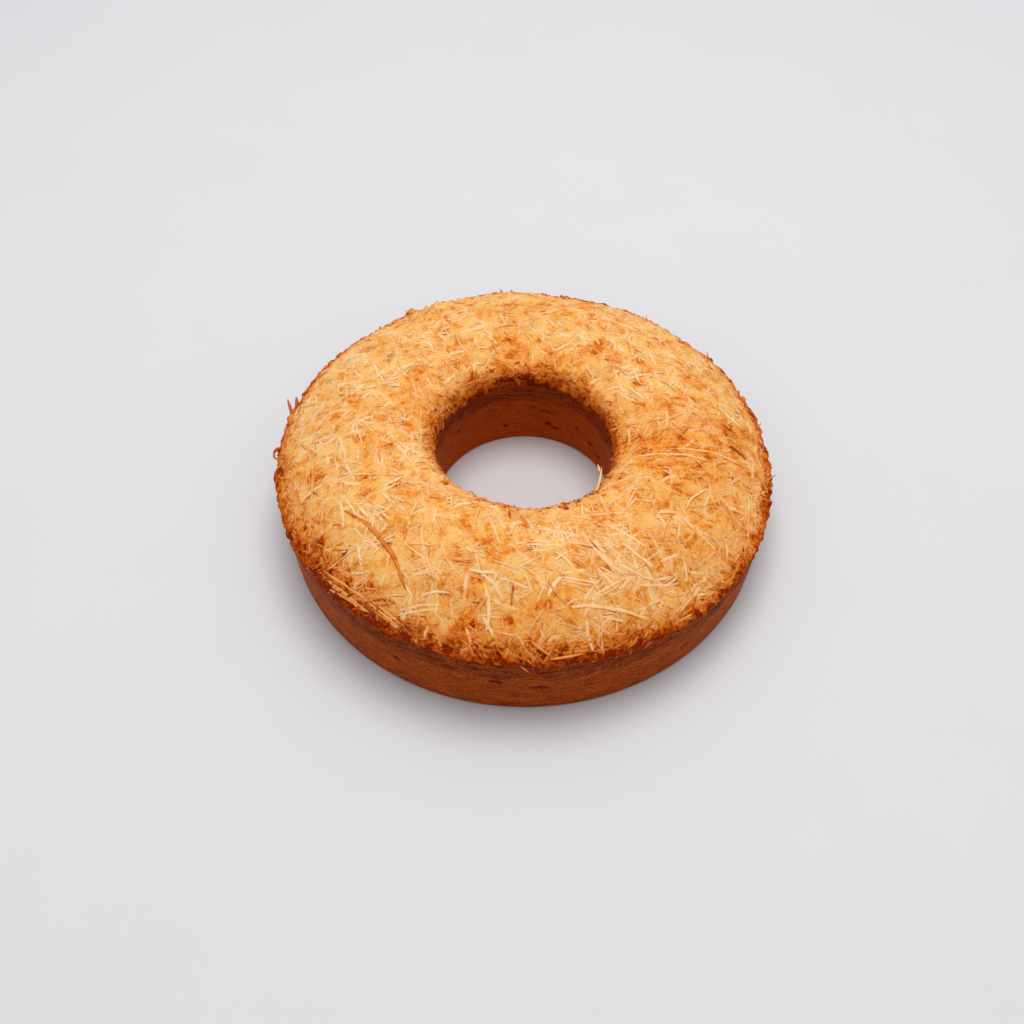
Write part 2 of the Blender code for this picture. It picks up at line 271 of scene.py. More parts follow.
# Heaps of crumbs that the crust shed at its edges: X, Y and radius in
# millimetres, how many, the largest crumb's size, its browning and the heap's height
CRUMB_HEAPS = (
    (-58, 78, 2.8, 14, 2.0, 0.46, 1.0),
    (-51, 83, 3.0, 24, 2.6, 0.43, 2.2),
    (-44, 87, 2.8, 12, 2.0, 0.44, 1.2),
    (-36, 89, 3.5, 12, 2.0, 0.44, 1.0),
    (-79, 58, 2.0, 8, 2.0, 0.66, 0.8),
    (-85, 49, 2.2, 7, 1.8, 0.64, 0.6),
    (-92, 36, 1.6, 4, 1.4, 0.70, 0.6),
    (9, 95, 2.5, 6, 1.5, 0.60, 0.6),
    (16, 94, 2.5, 7, 1.5, 0.58, 0.6),
    (55, 78, 2.5, 6, 1.5, 0.58, 0.8),
    (14.5, -38.0, 1.6, 7, 2.2, 0.70, 0.5),
    (21, -35, 1.8, 6, 1.8, 0.66, 0.4),
    (28, -28, 1.6, 5, 1.5, 0.64, 0.3),
    (-7, -39, 1.6, 5, 1.4, 0.60, 0.3),
    (-30, -29, 1.8, 6, 1.7, 0.66, 0.4),
    (-96, -17, 3.0, 7, 1.2, 0.70, 0.3),
    (-92, -36, 3.0, 10, 1.8, 0.72, 0.4),
    (-78, -60, 5.0, 10, 1.8, 0.86, 0.3),
    (-66, -72, 5.0, 8, 1.7, 0.88, 0.3),
)

# Crumbs along the crown and the hole's rim: how many, between which radii, the
# smallest and the largest size in millimetres, the palest and the darkest, and
# how much paler at the back
CRUMB_RINGS = (
    (260, CROWN_RADIUS - 4.0 * MM, CROWN_RADIUS - 0.3 * MM, 0.6, 2.0, 0.76, 1.0, 0.28),
    (160, HOLE_RIM_RADIUS, HOLE_RIM_RADIUS + 1.0 * MM, 0.4, 1.6, 0.56, 0.78, -0.18),
)

# Loose shreds by kind: seed, how many, and in millimetres the ring they fell on,
# shortest, usual and longest, narrowest, usual and widest, thinnest and thickest,
# then how much paler than the crust, how clumped and how curly
LOOSE_SHREDS = {
    "middling": (41, 3000, (38.5, 97.5), (5.0, 9.0, 22.0), (0.6, 0.95, 1.6), (0.22, 0.34),
                 0.07, 1.0, 0.40),
    "fine": (42, 4600, (37.0, 98.5), (2.5, 5.0, 12.0), (0.36, 0.56, 0.95), (0.18, 0.28),
             0.05, 0.8, 0.70),
    "curled": (45, 4600, (38.0, 98.5), (1.5, 3.0, 7.0), (0.30, 0.45, 0.8), (0.20, 0.34),
               0.06, 0.6, 1.8),
    "crown": (43, 1900, (91.0, 98.9), (3.0, 5.0, 11.0), (0.5, 0.9, 1.6), (0.28, 0.50),
              0.08, 0.0, 0.50),
    "rim": (44, 620, (35.4, 40.0), (1.5, 3.5, 8.0), (0.4, 0.6, 1.0), (0.3, 0.45),
            0.0, 0.0, 0.60),
    "rim strands": (49, 520, (36.2, 38.6), (3.0, 5.5, 11.0), (0.40, 0.65, 1.1), (0.26, 0.42),
                    0.0, 0.0, 0.35),
}

# Curled shreds thin out towards the front.  Those of the crown and of the rim
# brown in their own way, and some of the rim's stand off.
CURLS_FROM = 5.0 * MM
CURLS_SPREAD = 35.0 * MM
CROWN_BROWN = 0.26
CROWN_BROWN_SHARE = 0.50
CROWN_BROWN_SPREAD = 0.09
RIM_BROWNING = 0.11
RIM_BROWN_SPREAD = 0.07
RIM_RISERS = 0.35
RIM_RISE = 0.7 * MM

SCATTERED_STRIPS = 110
SCATTER_INNER_RADIUS = 41.0 * MM
SCATTER_OUTER_RADIUS = 98.0 * MM
SHORTEST_STRIP = 8.0 * MM
LONGEST_STRIP = 18.0 * MM
NARROWEST_STRIP = 1.4 * MM
WIDEST_STRIP = 2.0 * MM
STRIP_BEND = math.radians(20.0)
GOLDEN_ANGLE = math.pi * (3.0 - math.sqrt(5.0))

# Seed of what the plain solid has too.  Every other draw has one of its own.
SEED = 7

# How the placed and scattered strips dried and lie.  Wide, long and brown ones
# lie higher.
PLACED_DRYING = 0.8
SCATTERED_DRYING = 0.85
PLACED_THICKNESS = 0.32 * MM
SCATTERED_THICKNESS = 0.28 * MM
PALEST_PLACED = 0.12
WIDE_STRIP = 2.1
LONG_STRIP = 25.0
TAN = 0.6
PLACED_LIE = 0.02
PROUD_LIE = 0.10
CURLED_LIE = 0.9
TWO_STRANDS_WIDTH = 2.2 * MM
STANDING_STATIONS = 13
FOOT_WIDTH = 1.15
NARROWING = 0.60

# How every shred tapers, sinks, wanders and browns, and the shade painted on its underside
TIP_SHARE = 0.35
TIP_THICKNESS = 0.4
TIP_POWER = 4
TIP_TOASTING = 0.12
TIP_SINKING = 0.22 * MM
UNDERSIDE_SHADE = 0.25
REAR_SHADE_EASING = 0.6
EDGE_SPREAD = 0.30
DARKEST = 0.9
SINKING = 0.20 * MM
KINK_SPACING = 5.0 * MM
UNEVEN_WIDTH = 0.22
CROWN_OVERHANG = 0.8 * MM
FRONT_RIM_OVERHANG = 1.6 * MM
REAR_RIM_OVERHANG = -0.7 * MM
LIVELY_SHARE = 0.06
BROWN_SHARE = 0.04
BOXY = 0.6

# ---------------- the form in numbers


def lumps(places, size, seed):
    """Smooth chance heights, about -1 to 1, of lumps of a given size."""
    draw = np.random.default_rng(seed)
    slopes = draw.normal(size=(4096, 3))
    slopes /= np.linalg.norm(slopes, axis=1, keepdims=True)
    cells = places / size
    corner = np.floor(cells).astype(np.int64)
    inside = cells - corner
    fade = inside ** 3 * (inside * (inside * 6.0 - 15.0) + 10.0)
    total = np.zeros(places.shape[:-1])
    for side in itertools.product((0, 1), repeat=3):
        keys = (corner + side) * np.array((73856093, 19349663, 83492791))
        slope = slopes[np.bitwise_xor.reduce(keys, axis=-1) % len(slopes)]
        weight = np.prod(np.where(side, fade, 1.0 - fade), axis=-1)
        total += weight * np.sum((inside - side) * slope, axis=-1)
    return 1.7 * total


def eased(value, low, high):
    """0 below low, 1 above high and smooth between."""
    share = np.clip((value - low) / (high - low), 0.0, 1.0)
    return share * share * (3.0 - 2.0 * share)


def rearness(azimuth):
    """1 at the very back of the ring, 0 at the very front."""
    return 0.5 + 0.5 * np.sin(azimuth)


def rearward(y):
    """0 over the front of the ring, 1 over its back, by distance."""
    return eased(y, -20.0 * MM, 60.0 * MM)


def on_plan(x, y):
    """Places on the ground plane, for lumps that take no notice of height."""
    return np.stack((x, y, np.zeros_like(x)), axis=-1)


def dome(radius):
    """Mean height of the risen top at a distance from the axis."""
    outside = radius > RIDGE_RADIUS
    outer = (radius - RIDGE_RADIUS) / (CROWN_RADIUS - RIDGE_RADIUS)
    inner = (RIDGE_RADIUS - radius) / (RIDGE_RADIUS - HOLE_RIM_RADIUS)
    across = np.clip(np.where(outside, outer, inner), 0.0, 1.0)
    foot = np.where(outside, CROWN_HEIGHT, HOLE_RIM_HEIGHT)
    fall = 1.0 - across ** np.where(outside, OUTER_POWER, INNER_POWER)
    root = np.where(outside, OUTER_ROOT, INNER_ROOT)
    return foot + (RIDGE_HEIGHT - foot) * fall ** (1.0 / root)


def risen(x, y, z):
    """Height of a point of the mean form once the cake has risen unevenly."""
    lean = 1.0 + (LEAN_X * x + LEAN_Y * y) / CROWN_HEIGHT
    twist = TWIST_HEIGHT * np.cos(2.0 * (np.arctan2(y, x) - TWIST_AZIMUTH))
    swell = sum(
        height * np.sin(math.tau * (along * x + across * y) + phase)
        for along, across, phase, height in SWELLS
    )
    return z * lean + (twist + swell) * np.minimum(z / CROWN_HEIGHT, 1.0)


def top(x, y):
    """Places on the smooth risen top.  Past its edges they go on down the walls."""
    radius = np.hypot(x, y)
    past = np.maximum(radius - CROWN_RADIUS, 0.0) + np.maximum(HOLE_RIM_RADIUS - radius, 0.0)
    return np.stack((x, y, risen(x, y, dome(radius)) - FALL_PAST_EDGES * past), axis=-1)


def top_normal(x, y):
    """Directions straight out of the risen top."""
    step = 0.8 * MM
    east = top(x + step, y) - top(x - step, y)
    north = top(x, y + step) - top(x, y - step)
    return unit(np.cross(east, north))


def unit(vectors):
    """The same directions, one metre long."""
    return vectors / np.linalg.norm(vectors, axis=-1, keepdims=True)


def broad_relief(places):
    """Lumps and crags of the top that the cheese follows."""
    relief = 0.45 * MM * lumps(places, 9.0 * MM, 1)
    relief += (0.30 + 0.14 * rearward(places[..., 1])) * MM * lumps(places, 4.2 * MM, 2)
    shaggy = lumps(places, 2.6 * MM, 6)
    for east, north, size in crags():
        away = np.hypot(places[..., 0] - east, places[..., 1] - north) / size
        relief += 0.5 * size * np.exp(-away ** 2) * (1.0 + 0.8 * shaggy)
    return relief


def hollows(places):
    """Dimples of the top that the cheese bridges, 0 to 1 deep."""
    return eased(lumps(places, 5.0 * MM, 5), 0.18, 0.75)


def fine_relief(places):
    """Crumb that shows in the top between the cheese."""
    crumb = 0.24 * MM * lumps(places, 2.3 * MM, 3) + 0.16 * MM * lumps(places, 1.3 * MM, 4)
    return crumb - 0.36 * MM * hollows(places)


def away_from(x, y, east, north, size):
    """Plan distance from a place, in sizes.  Place and size are in millimetres."""
    return np.hypot(x - east * MM, y - north * MM) / (size * MM)


def in_patches(x, y, patches):
    """Sum of soft round patches: X, Y and radius in millimetres, then the amount."""
    return sum(amount * np.exp(-away_from(x, y, *patch) ** 2) for *patch, amount in patches)


def browning(x, y):
    """How brown the top is baked at a place, from 0 pale to 1 dark."""
    radius = np.hypot(x, y)
    azimuth = np.arctan2(y, x)
    flat = on_plan(x, y)
    ragged = radius + 1.6 * MM * lumps(flat, 7.0 * MM, 11) + 0.8 * MM * lumps(flat, 2.5 * MM, 12)
    brown = MEAN_BROWN + 0.13 * lumps(flat, 16.0 * MM, 13) + 0.13 * lumps(flat, 7.0 * MM, 14)
    dark_side = (0.5 + 0.5 * np.cos(azimuth - DARK_SIDE_AZIMUTH)) ** 3
    behind = rearness(azimuth)
    reach = (6.5 + 5.5 * dark_side) * MM
    edge = eased(ragged, CROWN_RADIUS - reach, CROWN_RADIUS - 0.5 * MM) ** 1.2
    last = eased(ragged, CROWN_RADIUS - 2.5 * MM, CROWN_RADIUS - 0.5 * MM)
    brown += (0.50 - 0.22 * behind) * edge
    brown += (0.22 - 0.10 * behind) * last
    at_rim = 1.0 - eased(ragged, HOLE_RIM_RADIUS, HOLE_RIM_RADIUS + 6.0 * MM)
    brown += (0.06 + 0.12 * behind) * at_rim
    return brown + in_patches(x, y, BAKED_PATCHES)


def cover(x, y):
    """Share of the loose shreds that fell on a place."""
    drifts = 0.40 * lumps(on_plan(x, y), 13.0 * MM, 15)
    return MEAN_COVER + drifts + in_patches(x, y, CHEESE_PATCHES)


def crags():
    """Places and sizes of the crust's crags along the rear left of the top."""
    draw = random.Random(SEED)
    for index in range(CRAG_COUNT):
        share = index / (CRAG_COUNT - 1)
        azimuth = CRAG_FIRST_AZIMUTH + (CRAG_LAST_AZIMUTH - CRAG_FIRST_AZIMUTH) * share
        radius = CRAG_RADIUS + draw.uniform(-CRAG_SCATTER, CRAG_SCATTER)
        # The plain solid draws each crag's corners here, and its places are kept
        for _ in range(CRAG_CORNERS):
            draw.random()
        size = SMALLEST_CRAG + (LARGEST_CRAG - SMALLEST_CRAG) * share
        yield radius * math.cos(azimuth), radius * math.sin(azimuth), size


# ---------------- finishes


class Field:
    """A socket of a finish's nodes.  Arithmetic on it adds Math nodes."""

    def __init__(self, finish, socket):
        self.finish = finish
        self.socket = socket

    def __add__(self, other):
        return self.finish.math("ADD", self, other)

    def __sub__(self, other):
        return self.finish.math("SUBTRACT", self, other)

    def __rsub__(self, other):
        return self.finish.math("SUBTRACT", other, self)

    def __mul__(self, other):
        return self.finish.math("MULTIPLY", self, other)

    __radd__ = __add__
    __rmul__ = __mul__

    def between(self, low, high):
        """0 below low, 1 above high and smooth between; falls where low is above high."""
        return self.finish.node(
            "ShaderNodeMapRange",
            {"interpolation_type": "SMOOTHSTEP"},
            {"Value": self, "From Min": low, "From Max": high},
            "Result",
        )


class Finish:
    """A material and the nodes that make it."""

    def __init__(self, name):
        self.material = bpy.data.materials.new(name)
        self.material.use_nodes = True
        self.tree = self.material.node_tree
        self.shader = self.tree.nodes["Principled BSDF"]

    def node(self, kind, settings, sockets, output):
        """Adds a node and gives one of its outputs."""
        made = self.tree.nodes.new(kind)
        for name, value in settings.items():
            if name == "stops":
                self.set_stops(made.color_ramp, value)
            else:
                setattr(made, name, value)
        self.fill(made, sockets)
        return Field(self, next(s for s in made.outputs if s.identifier == output))

    def fill(self, made, sockets):
        """Sets or links a node's inputs."""
        for name, value in sockets.items():
            socket = next(s for s in made.inputs if s.identifier == name)
            if isinstance(value, Field):
                self.tree.links.new(value.socket, socket)
            else:
                socket.default_value = value

    @staticmethod
    def set_stops(ramp, stops):
        """Puts a ramp's colours where they belong."""
        while len(ramp.elements) < len(stops):
            ramp.elements.new(0.5)
        for element, (position, colour) in zip(ramp.elements, stops):
            element.position = position
            element.color = (*colour, 1.0)

    def math(self, operation, first, second):
        sockets = {"Value": first, "Value_001": second}
        return self.node("ShaderNodeMath", {"operation": operation}, sockets, "Value")

    def attribute(self, name):
        return self.node("ShaderNodeAttribute", {"attribute_name": name}, {}, "Fac")

    def ramp(self, value, stops):
        return self.node("ShaderNodeValToRGB", {"stops": stops}, {"Fac": value}, "Color")

    def mix(self, share, first, second):
        """A colour between two."""
        colours = [c if isinstance(c, Field) else (*c, 1.0) for c in (first, second)]
        sockets = {"Factor_Float": share, "A_Color": colours[0], "B_Color": colours[1]}
        return self.node("ShaderNodeMix", {"data_type": "RGBA"}, sockets, "Result_Color")

    def place(self, flatter):
        """The object's own coordinates, for a pattern so many times wider than high."""
        here = self.node("ShaderNodeTexCoord", {}, {}, "Object")
        sockets = {"Vector": here, "Scale": (1.0, 1.0, flatter)}
        return self.node("ShaderNodeMapping", {}, sockets, "Vector")

    def mottle(self, size, detail, flatter=1.0):
        """Soft noise, 0 to 1, of a given size."""
        sockets = {"Vector": self.place(flatter), "Scale": 1.0 / size, "Detail": detail}
        return self.node("ShaderNodeTexNoise", {}, sockets, "Fac")

    def cells(self, size, flatter=1.0):
        """Distance from the middle of chance cells, 0 to about 1."""
        sockets = {"Vector": self.place(flatter), "Scale": 1.0 / size}
        return self.node("ShaderNodeTexVoronoi", {}, sockets, "Distance")

    def blotches(self):
        """How much browner the crust and the cheese on it baked in spots."""
        broad = self.mottle(5.2 * MM, 4.0).between(0.46, 0.70)
        small = self.mottle(2.4 * MM, 3.0).between(0.52, 0.72)
        return 0.24 * broad + 0.18 * small - 0.10

    def bump(self, height, depth):
        sockets = {"Height": height, "Distance": depth, "Strength": 1.0}
        return self.node("ShaderNodeBump", {}, sockets, "Normal")

    def dress(self, **sockets):
        """Sets the shader's own sockets, named with underscores for blanks."""
        self.fill(self.shader, {name.replace("_", " "): v for name, v in sockets.items()})
        return self.material


GOLDEN_CRUST = (
    (0.00, (0.87, 0.54, 0.200)),
    (0.20, (0.845, 0.448, 0.126)),
    (0.40, (0.80, 0.305, 0.048)),
    (0.58, (0.70, 0.175, 0.011)),
    (0.78, (0.45, 0.066, 0.003)),
    (1.00, (0.20, 0.017, 0.001)),
)
PORE_BROWN = (0.50, 0.125, 0.011)
TIN_BROWN = (0.28, 0.036, 0.002)
TUBE_BROWN = (0.58, 0.080, 0.003)
BAND_BROWN = (0.175, 0.021, 0.004)
SANDY_BROWN = (0.47, 0.090, 0.008)
TEAR_RED = (0.10, 0.005, 0.001)

TOASTED_CHEESE = (
    (0.00, (0.93, 0.62, 0.340)),
    (0.20, (0.89, 0.515, 0.225)),
    (0.40, (0.83, 0.350, 0.094)),
    (0.62, (0.72, 0.195, 0.020)),
    (0.82, (0.45, 0.076, 0.006)),
    (1.00, (0.17, 0.018, 0.002)),
)
CHEESE_GLOSS = 0.12
CRUMB_GLOSS = 0.06
CRUST_GLOSS = 0.02

# How far light spreads inside the crust and the cheese before it comes out again
CRUST_GLOW = 0.35
CRUST_GLOW_REACH = 1.4 * MM
CHEESE_GLOW = 0.12
CHEESE_GLOW_REACH = 0.4 * MM
GLOW_TINT = (1.0, 0.45, 0.20)
CHEESE_GLOW_TINT = (1.0, 0.70, 0.50)


def baked_crust():
    """Golden, fine-pored crust on top, and the smooth brown that the tin gives."""
    finish = Finish("baked_crust")
    grain = finish.mottle(1.3 * MM, 3.0)
    pore = finish.cells(1.8 * MM).between(0.24, 0.08)
    baked = finish.attribute("brown")
    speckle = (0.20 + 0.45 * baked) * (grain - 0.5)
    brown = baked + finish.blotches() * (0.50 + 1.7 * baked) + speckle
    golden = finish.ramp(brown, GOLDEN_CRUST)
    golden = finish.mix(pore * 0.55, golden, PORE_BROWN)

    streak = finish.mottle(7.0 * MM, 4.0, 9.0)
    line = finish.mottle(5.0 * MM, 3.0, 12.0).between(0.53, 0.62)
    # Painted highlight: pale streaks stand for the sheen of the dark glossy band.
    band_glint = finish.mottle(4.0 * MM, 3.0, 8.0).between(0.57, 0.64)
    cloud = finish.mottle(8.0 * MM, 3.0, 1.6)
    crumb = finish.mottle(0.65 * MM, 1.0, 1.3)
    prick = finish.cells(1.7 * MM, 1.6).between(0.26, 0.10)
    band = (finish.attribute("band") + 1.1 * (streak - 0.5)).between(0.25, 0.75)
    tube = finish.attribute("tube")
    sandy = (0.7 * cloud + 1.6 * crumb).between(1.02, 1.30) * (1.2 - 0.6 * band)
    side = finish.mix(tube, TIN_BROWN, TUBE_BROWN)
    for share, colour in (
        (band * (1.0 - 0.4 * tube), BAND_BROWN),
        (sandy * (1.0 - 0.5 * tube), SANDY_BROWN),
        (prick * 0.7, TEAR_RED),
        (line * (0.24 + 0.6 * band), TEAR_RED),
        # painted highlight of the band's sheen
        (band_glint * band * 0.8, SANDY_BROWN),
        (finish.attribute("tear"), TEAR_RED),
    ):
        side = finish.mix(share, side, colour)

    tin = finish.attribute("tin")
    top_relief = grain * 0.7 - pore * 0.5
    side_relief = streak * 0.5 + crumb - prick - line * 0.8
    relief = top_relief * (1.0 - tin) + side_relief * tin
    return finish.dress(
        Base_Color=finish.mix(tin, golden, side),
        Roughness=0.60 - 0.16 * tin + 0.12 * (grain - 0.5),
        Specular_IOR_Level=CRUST_GLOSS,
        Subsurface_Weight=CRUST_GLOW,
        Subsurface_Radius=GLOW_TINT,
        Subsurface_Scale=CRUST_GLOW_REACH,
        Normal=finish.bump(relief, 0.22 * MM),
    )


def toasted_cheese():
    """Melted cheese from cream to brown, by each shred's own toasting and its painted underside
    shade.
    """
    finish = Finish("toasted_cheese")
    grain = finish.mottle(0.7 * MM, 2.0)
    brown = finish.attribute("brown") + 0.75 * finish.blotches() + 0.12 * (grain - 0.5)
    return finish.dress(
        Base_Color=finish.ramp(brown, TOASTED_CHEESE),
        Roughness=0.55 + 0.2 * (grain - 0.5),
        Specular_IOR_Level=CHEESE_GLOSS,
        Subsurface_Weight=CHEESE_GLOW,
        Subsurface_Radius=CHEESE_GLOW_TINT,
        Subsurface_Scale=CHEESE_GLOW_REACH,
        Normal=finish.bump(grain, 0.08 * MM),
    )


def toasted_crumb():
    """Crumbs of crust, from golden to dark brown."""
    finish = Finish("toasted_crumb")
    grain = finish.mottle(0.8 * MM, 2.0)
    return finish.dress(
        Base_Color=finish.ramp(finish.attribute("brown") + 0.24 * (grain - 0.5), GOLDEN_CRUST),
        Roughness=0.55 + 0.2 * (grain - 0.5),
        Specular_IOR_Level=CRUMB_GLOSS,
        Normal=finish.bump(grain, 0.15 * MM),
    )


# ---------------- meshes


def put_in_scene(name, data):
    """A new object of the scene."""
    thing = bpy.data.objects.new(name, data)
    bpy.context.scene.collection.objects.link(thing)
    return thing


def make_piece(name, corners, faces, material, **values):
    """A smooth piece of the cake with its values at every corner."""
    mesh = bpy.data.meshes.new(name)
    mesh.from_pydata(corners.reshape(-1, 3).tolist(), [], faces)
    for value, numbers in values.items():
        layer = mesh.attributes.new(value, "FLOAT", "POINT")
        layer.data.foreach_set("value", numbers.astype(np.float32).ravel())
    mesh.materials.append(material)
    mesh.shade_smooth()
    piece = put_in_scene(name, mesh)
    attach(piece, "root")
    return piece


def evenly(count, first, last):
    """Numbers from first to last, the last left out."""
    return np.linspace(first, last, count, endpoint=False)


def skin_rows():
    """Radius, height and zone of the rows round the ring, from the foot of the hole."""
    hole_height = evenly(HOLE_ROWS, BASE_EDGE_ROUND, HOLE_RIM_HEIGHT)
    share = hole_height / HOLE_RIM_HEIGHT
    hole_radius = HOLE_BASE_RADIUS + (HOLE_RIM_RADIUS - HOLE_BASE_RADIUS) * share

    turn = np.linspace(0.0, math.pi, 4001)
    near = RIDGE_RADIUS - (RIDGE_RADIUS - HOLE_RIM_RADIUS) * np.cos(turn)
    far = RIDGE_RADIUS - (CROWN_RADIUS - RIDGE_RADIUS) * np.cos(turn)
    radius = np.where(turn < 0.5 * math.pi, near, far)
    height = dome(radius)
    way = np.concatenate(([0.0], np.cumsum(np.hypot(np.diff(radius), np.diff(height)))))
    stops = evenly(TOP_ROWS, 0.0, way[-1])
    top_radius = np.interp(stops, way, radius)

    wall_height = evenly(WALL_ROWS, CROWN_HEIGHT, BASE_EDGE_ROUND)
    share = wall_height / CROWN_HEIGHT
    wall_radius = BASE_RADIUS + (CROWN_RADIUS - BASE_RADIUS) * share

    round_off = np.array((0.0, 0.5, 1.0)) * 0.5 * math.pi
    foot_inset = BASE_EDGE_ROUND * (1.0 - np.cos(round_off))
    foot_height = BASE_EDGE_ROUND * (1.0 - np.sin(round_off))
    under = np.linspace(BASE_RADIUS - BASE_EDGE_ROUND, HOLE_BASE_RADIUS + BASE_EDGE_ROUND,
                        UNDERSIDE_ROWS)[1:-1]
    radius, height, zone = zip(
        (hole_radius, hole_height, IN_HOLE),
        (top_radius, dome(top_radius), ON_TOP),
        (wall_radius, wall_height, ON_WALL),
        (BASE_RADIUS - foot_inset, foot_height, ON_WALL),
        (under, 0.0 * under, UNDERNEATH),
        (HOLE_BASE_RADIUS + foot_inset[:0:-1], foot_height[:0:-1], IN_HOLE),
    )
    counts = [len(part) for part in radius]
    return np.concatenate(radius), np.concatenate(height), np.repeat(zone, counts)


def tears(azimuth, height, radius, marks):
    """How deep in a shallow tear each place of a wall lies, 0 to 1."""
    depth = np.zeros_like(azimuth)
    for turn, level, width, tall in marks:
        aside = np.angle(np.exp(1j * (azimuth - math.radians(turn)))) * radius / MM
        away = np.hypot(aside / (0.5 * width), (height / MM - level) / (0.5 * tall))
        depth = np.maximum(depth, 1.0 - eased(away, 0.5, 1.3))
    return depth


def bake_crust():
    """The ring's whole skin with the relief of its crust."""
    radius, height, zone = skin_rows()
    rows = len(radius)
    azimuth = evenly(TURN_STEPS, 0.0, math.tau)
    radius, height, zone = (
        np.repeat(part[:, None], TURN_STEPS, 1) for part in (radius, height, zone)
    )
    azimuth = np.repeat(azimuth[None, :], rows, 0)
    out = np.stack((np.cos(azimuth), np.sin(azimuth), np.zeros_like(azimuth)), axis=-1)
    skin = radius[..., None] * out
    skin[..., 2] = risen(skin[..., 0], skin[..., 1], height)
    along = np.roll(skin, -1, 0) - np.roll(skin, 1, 0)
    around = np.roll(skin, -1, 1) - np.roll(skin, 1, 1)
    normal = unit(np.cross(along, around))

    on_top = zone == ON_TOP
    on_wall = zone == ON_WALL
    in_hole = zone == IN_HOLE
    walls = (on_wall | in_hole) & (height > BASE_EDGE_ROUND)

    # Distance over the skin from the crown line and from the hole's rim
    crown = np.hypot(radius - CROWN_RADIUS, height - CROWN_HEIGHT)
    rim = np.hypot(radius - HOLE_RIM_RADIUS, height - HOLE_RIM_HEIGHT)
    shaggy = lumps(skin, 3.6 * MM, 21) + 0.6 * lumps(skin, 1.7 * MM, 22)
    crown_lip = np.exp(-(crown / (2.2 * MM)) ** 2) * (on_top | (crown < 0.4 * MM))
    rim_lip = np.exp(-(rim / (2.0 * MM)) ** 2) * (on_top | (rim < 0.4 * MM))
    lift = on_top * (broad_relief(skin) + fine_relief(skin))
    dimples = on_top * hollows(skin)
    flat_streaks = lumps(skin * (1.0, 1.0, 5.0), 8.0 * MM, 23)
    lift += walls * (0.14 * MM * flat_streaks + 0.20 * MM * lumps(skin, 22.0 * MM, 24))
    lift += walls * 0.05 * MM * lumps(skin, 1.9 * MM, 25)
    at_foot = 1.0 - eased(height, 1.0 * MM, 3.5 * MM)
    lift += walls * 0.38 * MM * lumps(skin, 3.6 * MM, 29) * at_foot
    tear = on_wall * tears(azimuth, height, CROWN_RADIUS, OUTER_TEARS)
    tear += in_hole * tears(azimuth, height, HOLE_RIM_RADIUS, HOLE_TEARS)
    tear *= np.clip(0.75 + 0.35 * on_wall + 0.6 * lumps(skin, 1.6 * MM, 26), 0.0, 1.0)
    lift -= TEAR_DEPTH * tear
    skin += normal * lift[..., None]

    outward = (crown_lip * (0.6 + 1.15 * shaggy) - on_wall * (crown < 5.0 * MM) * 0.25) * MM
    outward -= rim_lip * (0.4 + 0.9 * shaggy) * MM
    skin += outward[..., None] * out
    hem = crown_lip * 0.5 * MM * lumps(skin, 12.0 * MM, 27)
    hem += rim_lip * 0.6 * MM * lumps(skin, 9.0 * MM, 28)
    skin[..., 2] = np.maximum(skin[..., 2] + hem, 0.0)

    # Painted shade: the crust is browner in the hollows that the cheese bridges and where more
    # shreds lie on it.
    brown = browning(skin[..., 0], skin[..., 1]) + 0.14 * dimples
    brown += 0.12 * (np.clip(cover(skin[..., 0], skin[..., 1]), 0.0, 1.0) - 0.35)
    brown += 0.30 * (1.0 - eased(rim + 1.5 * MM * shaggy, 2.0 * MM, 11.0 * MM))
    brown += 0.26 * (1.0 - eased(rim + 0.9 * MM * shaggy, 0.8 * MM, 2.8 * MM))
    band = on_wall * eased(height, 0.52 * CROWN_HEIGHT, 0.85 * CROWN_HEIGHT)
    band += in_hole * eased(height, 0.55 * HOLE_RIM_HEIGHT, 0.95 * HOLE_RIM_HEIGHT)
    tube = in_hole * (1.0 - 0.40 * eased(height, 1.0 * MM, 16.0 * MM))
    index = np.arange(rows * TURN_STEPS).reshape(rows, TURN_STEPS)
    below = np.roll(index, -1, 0)
    faces = np.stack((index, below, np.roll(below, -1, 1), np.roll(index, -1, 1)), axis=-1)
    crust = make_piece("crust", skin, faces.reshape(-1, 4).tolist(), baked_crust(),
                       brown=brown, tin=1.0 - on_top, tube=tube, band=band, tear=tear)
    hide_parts("ring_cake")


# A shred's own numbers: start, heading, length and turn in the plan, width,
# thickness, how high it lies, how far its end stands off, roll, browning
SHRED = np.dtype([(number, float) for number in (
    "east", "north", "heading", "length", "turn", "width", "thickness",
    "lie", "rise", "roll", "brown",
)])


def along_arc(east, north, heading, length, turn, share):
    """Plan places at a share of the way along arcs."""
    turned = turn * share
    chord = length * share * np.sinc(0.5 * turned / math.pi)
    course = heading + 0.5 * turned
    return east + chord * np.cos(course), north + chord * np.sin(course)


